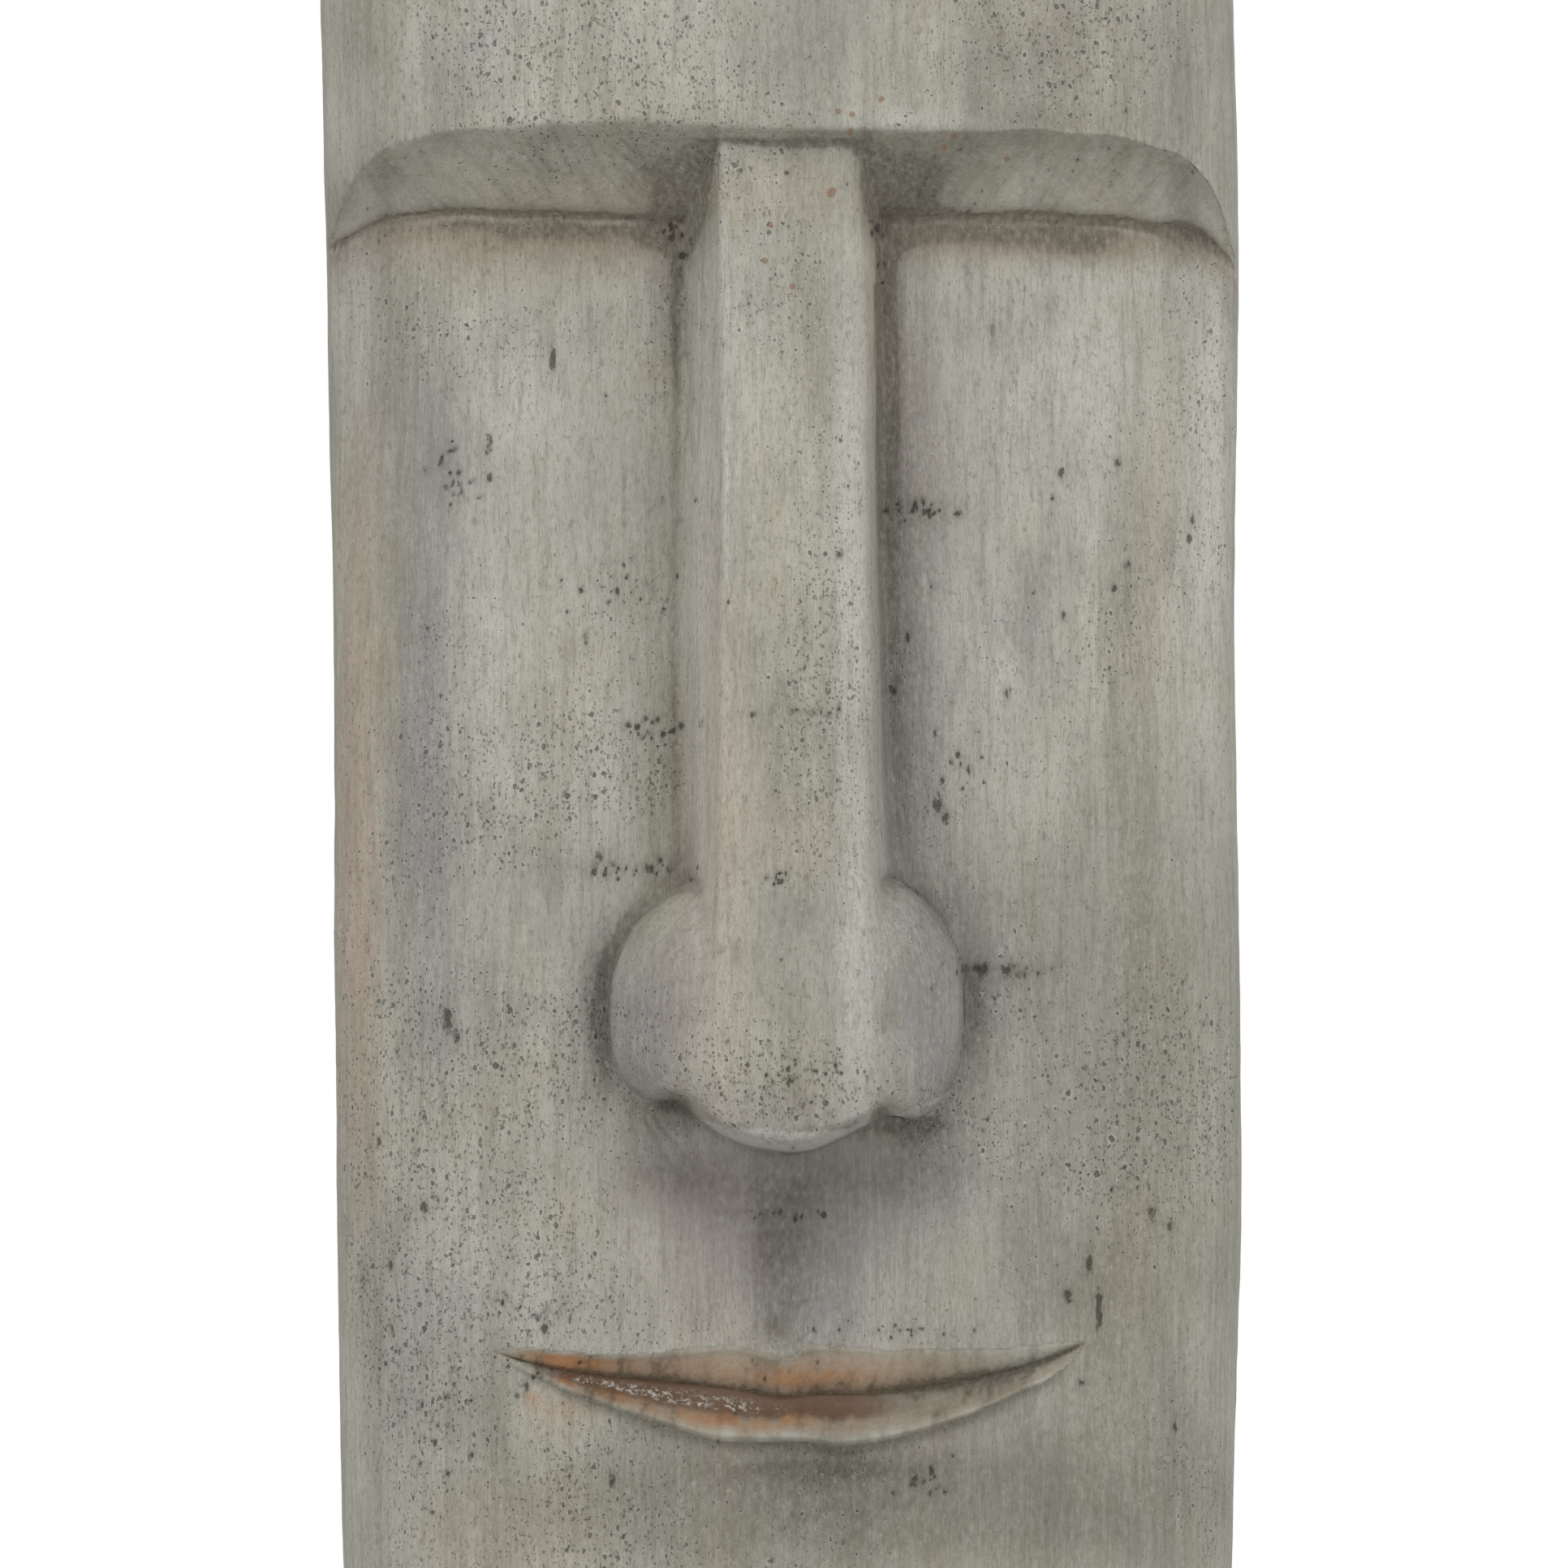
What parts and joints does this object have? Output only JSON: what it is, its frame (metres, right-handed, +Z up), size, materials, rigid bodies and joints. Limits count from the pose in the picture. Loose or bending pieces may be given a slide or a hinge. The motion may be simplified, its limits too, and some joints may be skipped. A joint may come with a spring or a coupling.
{
  "type": "garden tiki figure",
  "caption": "Free-standing hollow cast column with a carved tiki face: long flat nose, deep straight brow and a thin smiling mouth, on four rubber pads.",
  "frame": {"origin": "on the floor, under the middle of the overall box", "axes": "+Z up, the face looks towards -Y, +X towards the right of a viewer who faces the figure"},
  "size_m": [0.3066, 0.28, 0.812],
  "materials": {
    "painted_cast": "matte",
    "bare_cast": "matte",
    "glass_cloth": "matte",
    "foot_rubber": "matte"
  },
  "bodies": {
    "root": {"front_shell": "painted_cast", "back_shell": "painted_cast", "base_plate": "bare_cast", "base_bead": "bare_cast", "seam_strip_left": "glass_cloth", "seam_strip_right": "glass_cloth", "seam_strip_top": "glass_cloth", "foot_pad_front_left": "foot_rubber", "foot_pad_front_right": "foot_rubber", "foot_pad_rear_left": "foot_rubber", "foot_pad_rear_right": "foot_rubber"}
  },
  "joints": []
}
